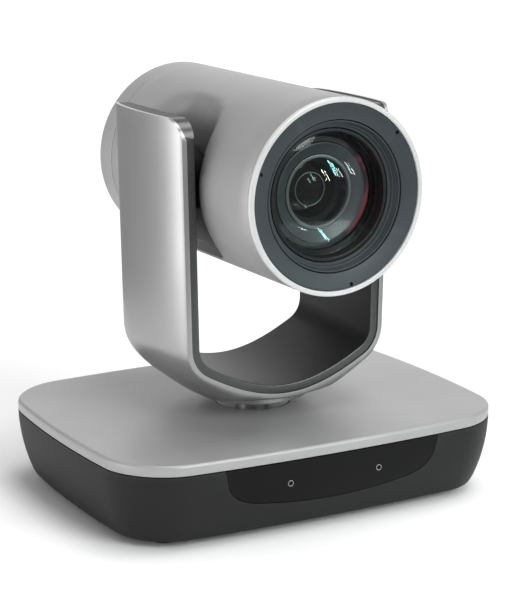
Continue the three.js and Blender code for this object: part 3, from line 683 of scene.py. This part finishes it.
# ---- Yoke ----
def yoke_path(top):
    """The rim seen along Y, as stations of (x, z, tangent angle, distance from the middle)."""
    upright = math.pi / 2 - YOKE_LEAN
    floor_steps, corner_steps, arm_steps = 32, 20, 14
    half = []
    for i in range(floor_steps + 1):
        x = YOKE_REACH * i / floor_steps
        root = math.hypot(YOKE_ROUND, YOKE_SLOPE * x)
        half.append([x, YOKE_LOW + root - YOKE_ROUND, math.atan(YOKE_SLOPE**2 * x / root)])
    start_x, start_z, start_angle = half[-1]
    for i in range(1, corner_steps + 1):
        angle = start_angle + (upright - start_angle) * i / corner_steps
        x = start_x + YOKE_CORNER * (math.sin(angle) - math.sin(start_angle))
        z = start_z + YOKE_CORNER * (math.cos(start_angle) - math.cos(angle))
        half.append([x, z, angle])
    start_x, start_z, _ = half[-1]
    for i in range(1, arm_steps + 1):
        rise = (top - start_z) * i / arm_steps
        half.append([start_x + rise / math.tan(upright), start_z + rise, upright])
    distance = 0
    for i, station in enumerate(half):
        if i:
            distance += math.hypot(station[0] - half[i - 1][0], station[1] - half[i - 1][1])
        station.append(distance)
    mirrored = [[-x, z, -angle, far] for x, z, angle, far in reversed(half[1:])]
    return mirrored + half


def bulge(far):
    """How far the outer face stands out at mid depth, at a distance along the rim from its middle.
    Near the pan axis it is flat below."""
    rise = math.hypot(YOKE_ROUND, YOKE_SLOPE * far) - YOKE_ROUND
    round_face = ARM_BULGE + FOOT_BULGE * math.exp(-(((far - FOOT_AT) / FOOT_SPREAD) ** 2))
    return min(round_face, YOKE_LOW - FOOT_LOW + FOOT_RISE * rise)


def swept(name, section_at, top):
    """Sweeps a closed section of (outward offset, y) points along the rim."""
    rings = []
    for x, z, angle, far in yoke_path(top):
        sin, cos = math.sin(angle), math.cos(angle)
        rings.append([(x + out * sin, y, z - out * cos) for out, y in section_at(far)])
    return lofted(name, rings)


def lens_curve(half_d, offset, far, scale=1.0, samples=28):
    """The yoke's outer curve from its front edge to its back edge, moved inwards by offset."""
    points = []
    for i in range(samples + 1):
        turn = math.pi * i / samples
        points.append((bulge(far) * scale * math.sin(turn) - offset, -half_d * math.cos(turn)))
    return points


def arm_shape(inset):
    """Keeps what lies below the arms' tops: rounded at the front, square at the back."""
    front, top = -YOKE_HALF_D + inset, YOKE_TOP - inset
    radius = ARM_CORNER - inset
    outline = [(front - 5, 20), (YOKE_HALF_D + 5, 20), (YOKE_HALF_D + 5, top)]
    steps = 20
    for k in range(steps + 1):
        angle = math.pi / 2 * (1 + k / steps)
        outline.append((front + radius + radius * math.cos(angle), top - radius + radius * math.sin(angle)))
    outline.append((front - 5, top - radius))
    return outline


def build_yoke():
    """The silver skin, its dark lining, the collar on the pan axis and the two tilt bearings' pods."""
    tall = YOKE_TOP + 3

    def shell_section(far):
        outer = lens_curve(YOKE_HALF_D, 0, far)
        inner = list(reversed(lens_curve(YOKE_HALF_D, YOKE_RIM, far)))
        outer[0] = (-0.12, -YOKE_HALF_D)  # the front edge is broken a little
        return outer + inner

    shell = swept("yoke_skin", shell_section, tall)
    carve(shell, prism("arm_trim", arm_shape(0), "X", -70, 70), "INTERSECT")
    bore = SHAFT_R + GAP
    hole = [(0, 20), (bore, 20), (bore, 47), (0, 47)]
    carve(shell, turned("shaft_hole", hole, (0, 0), "Z", 64))
    pit = [(0, 43.2), (0.9, 43.1), (1.4, 42.4), (1.4, 30), (0, 30)]
    carve(shell, turned("dimple", pit, DIMPLE_PLACE, "Z", 32))
    finish(shell, "yoke", "silver_yoke", ["yoke_shell"], angle=30)

    def frame_section(far):
        half = YOKE_HALF_D - 0.35
        outer = lens_curve(half, YOKE_RIM + 0.05, far, scale=0.995)
        inner = [outer[-1], (-YOKE_BAND, half), (-YOKE_BAND, -half), outer[0]]
        inner = filleted(inner, 0.5, closed=False, steps=5)
        return outer + inner[1:-1]

    lining = swept("yoke_lining", frame_section, tall)
    carve(lining, prism("lining_trim", arm_shape(0.35), "X", -70, 70), "INTERSECT")

    def hollow_section(far):
        deep = YOKE_HALF_D - 3.5
        return [(12, -deep), (12, deep), (WALL - YOKE_BAND, deep), (WALL - YOKE_BAND, -deep)]

    carve(lining, swept("lining_hollow", hollow_section, YOKE_TOP - 3))
    finish(lining, "yoke", "yoke_lining", ["yoke_frame"], angle=30)
    # The lining's edges, and the front corners of its two tops, are bare metal.
    lining.data.materials.append(LINING_EDGE)
    for face in lining.data.polygons:
        middle = face.center / MM
        on_edge = abs(face.normal.y) > 0.35 and abs(middle.y) > YOKE_HALF_D - 3
        near_top = middle.z > YOKE_TOP - ARM_CORNER - 2
        on_corner = near_top and face.normal.z > 0.2 and middle.y < -19
        if on_edge or on_corner:
            face.material_index = 1

    ring = [(bore, COLLAR_LOW), (COLLAR_R, COLLAR_LOW), (COLLAR_R, 46), (bore, 46)]
    collar = turned("pan_collar_ring", filleted(ring, [0, 0.5, 0, 0]), (0, 0), "Z", 144)

    def around(far):
        return [*lens_curve(YOKE_HALF_D, -GAP, far), (-8, YOKE_HALF_D), (-8, -YOKE_HALF_D)]

    carve(collar, swept("collar_trim", around, tall))
    finish(collar, "yoke", "silver_yoke", ["pan_collar"], angle=30)

    bore, seat, seat_wall, boss = 4.8, 8.3, 9.8, 13
    for side, sign in (("left", -1), ("right", 1)):
        low, high = span("arm_pod_" + side)
        near, far = sorted((abs(low.x), abs(high.x)))
        r = high.y
        if side == "right":
            profile = [(bore, near), (r, near), (r, far), (r - 2, far), (r - 2, near + 2),
                       (seat_wall, near + 2), (seat_wall, 34.6), (seat, 34.6), (seat, near + 2),
                       (bore, near + 2)]
            radii = [0, 1.0, 0.2, 0.2, 0, 0, 0, 0, 0, 0]
        else:
            profile = [(bore, near), (boss, near), (boss, far - 3), (r, far - 2), (r, far), (seat, far),
                       (seat, near + 2), (bore, near + 2)]
            radii = [0, 1.0, 0.8, 0.3, 0.2, 0, 0, 0]
        drawn = [(radius, sign * x) for radius, x in filleted(profile, radii)]
        pod = turned("pod_" + side, drawn, (0, TILT_Z), "X", 128)
        finish(pod, "yoke", "matt_black", ["arm_pod_" + side])


# ---- Head ----
def smooth(t):
    """Eases from 0 to 1."""
    t = min(1, max(0, t))
    return t * t * (3 - 2 * t)


def waist_edge(rise, sign):
    """Where the waist starts along Y, at a height above the tilt axis. Its lower corners are
    rounder than its upper ones."""
    corner = WAIST_TOP_CORNER if rise > 0 else WAIST_LOW_CORNER
    over = abs(rise) - (WAIST_HALF_H - corner)
    pull = 0 if over <= 0 else corner - math.sqrt(max(0, corner * corner - over * over))
    return sign * (WAIST_HALF_L - pull)


def head_radii(angle, thick):
    """Rows of (y, radius) along the barrel at one angle round it. The wall of the waist is crisp
    low down, and near the top it is a long soft slope."""
    rise = HEAD_R * math.sin(angle)
    across = abs(math.cos(angle))
    power = WAIST_POWER
    tall = HEAD_R * 1.02
    # The waist's own section is a flattened oval, met at this angle by a ray from the axis.
    oval = ((across / WAIST_HALF_W) ** power + (abs(math.sin(angle)) / tall) ** power) ** (-1 / power)
    floor = min(HEAD_R, oval)
    # The waist runs out gently where its floor nears the barrel's own skin.
    fade = 1.6
    depth = (HEAD_R - floor) * smooth((HEAD_R - floor) / fade)
    floor = HEAD_R - depth
    front, back = waist_edge(rise, -1), waist_edge(rise, 1)
    crisp, soft = 1.5, 15
    wall = min(crisp + soft * smooth((rise - 2) / 26), (back - front) / 2 - 1)
    edge, edge_drop = 0.25, 0.12
    start, end = SHELL_FRONT + edge, SHELL_BACK - edge
    steps, plain_steps, floor_steps = 10, 5, 8
    rows = [(SHELL_FRONT, HEAD_R - edge_drop), (start, HEAD_R)]
    rows += [(start + (front - start) * k / plain_steps, HEAD_R) for k in range(1, plain_steps)]
    rows += [(front + wall * k / steps, HEAD_R - depth * smooth(k / steps)) for k in range(steps + 1)]
    low, high = front + wall, back - wall
    rows += [(low + (high - low) * k / floor_steps, floor) for k in range(1, floor_steps)]
    rows += [(high + wall * k / steps, floor + depth * smooth(k / steps)) for k in range(steps + 1)]
    rows += [(back + (end - back) * k / plain_steps, HEAD_R) for k in range(1, plain_steps)]
    rows += [(end, HEAD_R), (SHELL_BACK, HEAD_R - edge_drop)]
    return [(y, radius - thick) for y, radius in rows]


def build_head():
    """The barrel with its waist, its rear cap, the pale rim and the slate bezel."""
    sides = 256
    angles = [math.tau * i / sides for i in range(sides)]
    columns_out = [head_radii(a, 0) for a in angles]
    columns_in = [head_radii(a, SHELL_T) for a in angles]

    def ring(columns, row):
        return [on_circle("Y", (0, TILT_Z), columns[i][row][1], columns[i][row][0], angles[i])
                for i in range(sides)]

    count = len(columns_out[0])
    rings = [ring(columns_out, row) for row in range(count)]
    rings += [ring(columns_in, row) for row in reversed(range(count))]
    shell = lofted("barrel_shell", rings, wrap=True)
    finish(shell, "head", "silver_head", ["head_shell"], angle=50)
    # Every face that lies sunk below the barrel's skin belongs to the waist, and takes the paint that fades
    # into painted shade low down.
    shell.data.materials.append(waist_painted_shade())
    for face in shell.data.polygons:
        middle = face.center / MM
        reach = math.hypot(middle.x, middle.z - TILT_Z)
        if reach < HEAD_R - 0.6 and abs(middle.y) < WAIST_HALF_L + 1:
            face.material_index = 1

    inside = HEAD_R - SHELL_T
    cap = [(0, CAP_BACK), (HEAD_R - 0.9, CAP_BACK), (HEAD_R, CAP_BACK - 1.2), (HEAD_R, CAP_FRONT + 0.2),
           (HEAD_R - 0.12, CAP_FRONT), (inside, CAP_FRONT), (inside, CAP_BACK - 2), (0, CAP_BACK - 2)]
    radii = [0, 1.0, 0.8, 0.1, 0.1, 0.1, 0.4, 0]
    finish(turned("barrel_cap", filleted(cap, radii)), "head", "silver_head", ["head_rear_cap"])

    rim_in = HEAD_R - 2
    rim = filleted([(rim_in, HEAD_FRONT), (HEAD_R, HEAD_FRONT), (HEAD_R, RIM_BACK), (rim_in, RIM_BACK)],
                   [0.35, 0.8, 0.2, 0.1], steps=6)
    finish(turned("pale_front_rim", rim, sides=192), "head", "pale_rim", ["front_rim"])

    high = span("front_bezel")[1]
    out = high.x
    bezel = filleted([(BEZEL_R, HEAD_FRONT + 2), (out, HEAD_FRONT + 0.6), (out, high.y), (BEZEL_R, high.y)],
                     [0.35, 0.25, 0.1, 0.1])
    bezel = turned("slate_bezel", bezel, sides=192)
    notch_r, notch_back, reach = 0.8, HEAD_FRONT + 2, out - 0.95
    notch = [(0, CUT_FRONT), (notch_r, CUT_FRONT), (notch_r, notch_back), (0, notch_back)]
    for degrees in NOTCH_DEGREES:
        angle = math.radians(degrees)
        spot = (reach * math.cos(angle), TILT_Z + reach * math.sin(angle))
        carve(bezel, turned("notch", notch, spot, sides=24))
    finish(bezel, "head", "bezel_slate", ["front_bezel"])


def build_lens():
    """The hood, the ring that holds the front element, and what is seen through that element."""
    hood = [(26.25, -61.6), (26.6, -62.1), (27.1, -62.1), (27.5, -63.2), (28.0, -63.2), (28.9, -65.6),
            (29.4, -65.6), (29.4, -51.6), (26.25, -51.6)]
    hood = filleted(hood, [0.1, 0.1, 0.1, 0.15, 0.1, 0.15, 0.1, 0.1, 0.1])
    finish(turned("hood_ring", hood, sides=192), "head", "matt_black", ["lens_hood"],
           look=LOOKS["bezel_slate"])

    ring = [(24.55, -61.3), (24.9, -61.6), (25.9, -61.6), (25.9, -52), (22.6, -52), (22.6, -54.6),
            (24.55, -54.6)]
    ring = filleted(ring, [0.15, 0.2, 0.3, 0.1, 0.1, 0.1, 0.1])
    finish(turned("lens_retainer", ring, sides=192), "head", "dark_metal", ["lens_front_ring"])

    steps, thick = 14, 2
    bow = [(GLASS_R * k / steps, GLASS_FRONT + GLASS_BOW * (k / steps) ** 2) for k in range(steps + 1)]
    front = turned("front_element", bow + [(r, y + thick) for r, y in reversed(bow)], sides=160)
    finish(front, "head", "lens_glass", ["front_lens"], look=clear_glass(), angle=60)

    # The stepped cell behind the front element: black outside with purple painted reflection on its right,
    # a cone painted pale teal as a reflection, and a bright inner edge.
    stepped = [(22.3, -53.9), (21.9, -54.5), (20.2, -54.7), (19.7, -54.4), (19.7, -52.6), (22.3, -52.6)]
    finish(turned("lens_cell_rim", filleted(stepped, 0.15), sides=160), "head", "matt_black",
           ["baffle_ring"], look=black_with_painted_reflection())
    cone = [(19.6, -55.0), (19.2, -55.1), (14.9, -52.9), (14.9, -52.6), (19.6, -52.6)]
    finish(turned("lens_cell_cone", filleted(cone, 0.15), sides=160), "head", "matt_black",
           look=CELL_TEAL_REFLECTION)
    edge = filleted([(13.0, -52.4), (13.4, -53.4), (14.7, -53.4), (14.8, -51.8), (13.0, -51.8)], 0.25)
    finish(turned("cell_edge", edge, sides=160), "head", "dark_metal", look=CELL_RING)
    low, high = span("zoom_lens")
    radius, bow, steps = 11, 1.6, 10
    parts = [k / steps for k in range(steps + 1)]
    bulged = [(radius * t, low.y + bow * t**2) for t in parts]
    bulged += [(radius * t, high.y - bow * t**2) for t in reversed(parts)]
    finish(turned("zoom_element", bulged, sides=128), "zoom_group", "lens_glass", ["zoom_lens"],
           look=INNER_GREEN, angle=60)
    bead = filleted([(6.4, low.y - 0.12), (6.8, low.y - 0.12), (6.8, low.y + 0.9), (6.4, low.y + 0.9)], 0.1)
    finish(turned("zoom_element_ring", bead, sides=96), "zoom_group", "dark_metal", look=CELL_RING)


build_base()
build_underside()
build_rear()
build_yoke()
build_head()
build_lens()

# ---- Floor, light and camera ----
CAMERA_PLACE = (-0.3776, -0.6841, 0.2672)
CAMERA_TURN = math.radians(-28.98)
CAMERA_DIP = math.radians(13.69)
CAMERA_LENS = 113.61895
SENSOR_WIDTH = 36
FLOOR_REACH = 0.34
ROOM_LEVEL = 0.33
ROOM_SEEN = 1.1
# Each glow's direction, the cosine where it starts, and its strength.
ROOM_GLOWS = [((-0.95, 0.2, -0.17), 0.72, 3.2), ((0.5, 0.85, 0.25), 0.82, 0.9)]
# Each glint's place on the front glass in millimetres (across, up), its lamp's length in metres,
# its slant in degrees, its colour, its radiance and how far away its lamp is.
GLINTS = {
    "glint_a": (-0.5, 7.4, 0.07, -60, (1, 0.97, 0.8), 60, 0.6),
    "glint_b": (3.0, 9.9, 0.1, -60, (0.4, 0.95, 0.95), 60, 0.6),
    "glint_c": (5.6, 8.2, 0.06, -60, (1, 1, 1), 50, 0.6),
    "glint_d": (10.8, 9.2, 0.075, -55, (0.95, 1, 1), 34, 0.6),
    "glint_e": (-0.6, -16.0, 0.028, -35, (0.5, 1, 1), 40, 0.15),
    "glint_f": (-9.8, -13.0, 0.015, -15, (1, 1, 1), 25, 0.15),
}
GLINT_SLIM = 0.08


def floor():
    """A white disc of floor. Beyond its edge the room is as white, so no edge is seen."""
    mesh = bpy.data.meshes.new("floor")
    sides = 96
    angles = [math.tau * k / sides for k in range(sides)]
    edge = [(FLOOR_REACH * math.cos(a), FLOOR_REACH * math.sin(a), 0) for a in angles]
    mesh.from_pydata(edge, [], [tuple(range(sides))])
    piece = bpy.data.objects.new("floor", mesh)
    bpy.context.scene.collection.objects.link(piece)
    mesh.materials.append(material("pale_floor", tone(253), 0.9, vary=0.002, bump=0.0, wear=0.0,
                                   gloss=0.0))


def sun(name, source, strength, softness):
    """A distant soft light that shines from a direction."""
    light = bpy.data.lights.new(name, "SUN")
    light.energy = strength
    light.angle = math.radians(softness)
    piece = bpy.data.objects.new(name, light)
    bpy.context.scene.collection.objects.link(piece)
    piece.rotation_euler = Vector(source).to_track_quat("Z", "Y").to_euler()


def world():
    """A pale room: plain white to the camera, and to the object an even light with two glows, one
    low on its left and one behind it on the right."""
    made = bpy.data.worlds.new("studio")
    made.use_nodes = True
    bpy.context.scene.world = made
    tree = made.node_tree
    nodes, links = tree.nodes, tree.links
    direction = nodes.new("ShaderNodeTexCoord").outputs["Generated"]
    level = None
    for source, start, strength in ROOM_GLOWS:
        dot = nodes.new("ShaderNodeVectorMath")
        dot.operation = "DOT_PRODUCT"
        dot.inputs[1].default_value = Vector(source).normalized()
        links.new(direction, dot.inputs[0])
        total = nodes.new("ShaderNodeMath")
        total.inputs[1].default_value = ROOM_LEVEL
        links.new(ranged(tree, dot.outputs["Value"], start, 1, 0, strength, soft=True), total.inputs[0])
        if level:
            links.new(level, total.inputs[1])
        level = total.outputs["Value"]
    links.new(level, nodes["Background"].inputs["Strength"])
    nodes["Background"].inputs["Color"].default_value = (1, 1, 1, 1)
    bright = nodes.new("ShaderNodeBackground")
    bright.inputs["Color"].default_value = (1, 1, 1, 1)
    bright.inputs["Strength"].default_value = ROOM_SEEN
    seen = nodes.new("ShaderNodeLightPath")
    mix = nodes.new("ShaderNodeMixShader")
    links.new(seen.outputs["Is Camera Ray"], mix.inputs["Fac"])
    links.new(nodes["Background"].outputs["Background"], mix.inputs[1])
    links.new(bright.outputs["Background"], mix.inputs[2])
    links.new(mix.outputs["Shader"], nodes["World Output"].inputs["Surface"])


def glint(name, across, up, length, degrees, color, radiance, reach):
    """A small strip lamp whose mirror image falls at a place on the front glass."""
    depth = GLASS_FRONT + GLASS_BOW * (across**2 + up**2) / GLASS_R**2
    spot = Vector((across, depth, TILT_Z + up)) * MM
    slope = 2 * GLASS_BOW / GLASS_R**2
    normal = Vector((across * slope, -1, up * slope)).normalized()
    incoming = (spot - Vector(CAMERA_PLACE)).normalized()
    outgoing = incoming - 2 * incoming.dot(normal) * normal
    light = bpy.data.lights.new(name, "AREA")
    light.shape = "RECTANGLE"
    width = GLINT_SLIM * length
    light.size, light.size_y = length, width
    light.energy = radiance * math.pi * length * width
    light.color = color
    piece = bpy.data.objects.new(name, light)
    bpy.context.scene.collection.objects.link(piece)
    piece.location = spot + outgoing * reach
    piece.visible_camera = False
    facing = outgoing.to_track_quat("Z", "Y")
    piece.rotation_euler = (facing @ Quaternion((0, 0, 1), math.radians(degrees))).to_euler()


floor()
world()
sun("key", (0.2, -0.86, 0.5), 2.0, 35)
sun("top", (0.25, -0.1, 1), 1.5, 40)
for name, values in GLINTS.items():
    glint(name, *values)

bpy.context.scene.view_settings.view_transform = "Standard"

lens = bpy.data.cameras.new("photo_camera")
lens.sensor_width = SENSOR_WIDTH
lens.lens = CAMERA_LENS
viewer = bpy.data.objects.new("photo_camera", lens)
bpy.context.scene.collection.objects.link(viewer)
viewer.location = CAMERA_PLACE
viewer.rotation_euler = (math.pi / 2 - CAMERA_DIP, 0, CAMERA_TURN)
bpy.context.scene.camera = viewer
